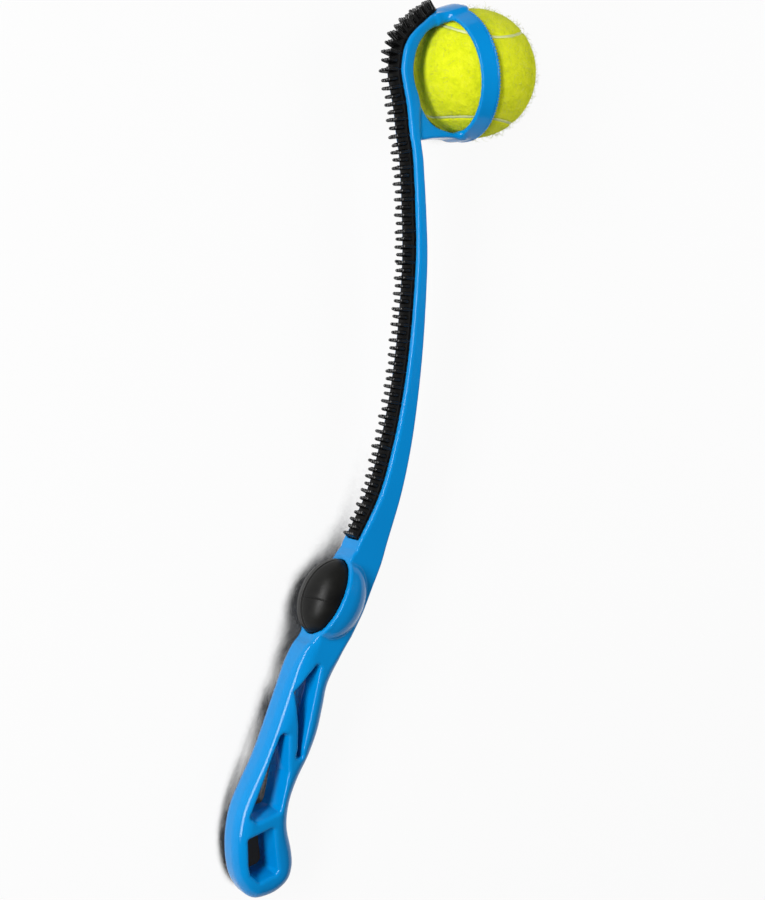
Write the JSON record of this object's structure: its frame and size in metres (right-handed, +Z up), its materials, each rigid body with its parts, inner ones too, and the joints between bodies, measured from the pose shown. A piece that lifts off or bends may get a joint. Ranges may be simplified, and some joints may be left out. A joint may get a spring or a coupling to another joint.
{
  "type": "dog ball thrower",
  "caption": "Dog ball thrower: curved arm with a hooked ring cup gripping a felt ball, bristles along its back, a squeaker bulb by the thumb and a windowed grip.",
  "frame": {"origin": "centre of the thrower's bounding box, on the floor that it lies on", "axes": "+X along the thrower from the ball to the end of the handle, +Y towards the throwing side, +Z up, across the thrower's width"},
  "size_m": [0.4634, 0.0868, 0.0672],
  "materials": {
    "blue_plastic": "glossy moulded polypropylene",
    "black_rubber": "smooth satin rubber",
    "brush_rubber": "satin rubber bristles on a strip",
    "yellow_felt": "fuzzy felt",
    "seam_rubber": "pale rubber seam",
    "core_rubber": "bare rubber",
    "squeaker_plastic": "plain moulded plastic"
  },
  "bodies": {
    "thrower": {"handle": "blue_plastic", "arm": "blue_plastic", "ball_cup": "blue_plastic", "brush_slice_01": "brush_rubber", "brush_slice_02": "brush_rubber", "brush_slice_03": "brush_rubber", "brush_slice_04": "brush_rubber", "brush_slice_05": "brush_rubber", "brush_slice_06": "brush_rubber", "brush_slice_07": "brush_rubber", "brush_slice_08": "brush_rubber", "brush_slice_09": "brush_rubber", "brush_slice_10": "brush_rubber", "brush_slice_11": "brush_rubber", "squeaker_housing": "squeaker_plastic", "squeaker_reed": "squeaker_plastic", "squeaker_cap": "squeaker_plastic"},
    "ball": {"felt_panel_a": "yellow_felt", "felt_panel_b": "yellow_felt", "ball_seam": "seam_rubber", "ball_core_a": "core_rubber", "ball_core_b": "core_rubber"},
    "bulb": {"squeaker_bulb": "black_rubber"}
  },
  "joints": [
    {"name": "ball_release", "type": "slide", "parent": "thrower", "child": "ball", "axis": [-0.4434, 0.896, 0.0245], "range_m": [0, 0.08]},
    {"name": "bulb_press", "type": "slide", "parent": "thrower", "child": "bulb", "axis": [0.2031, 0.9791, -0.0112], "range_m": [0, 0.004], "stiffness_N_per_m": 1500}
  ]
}
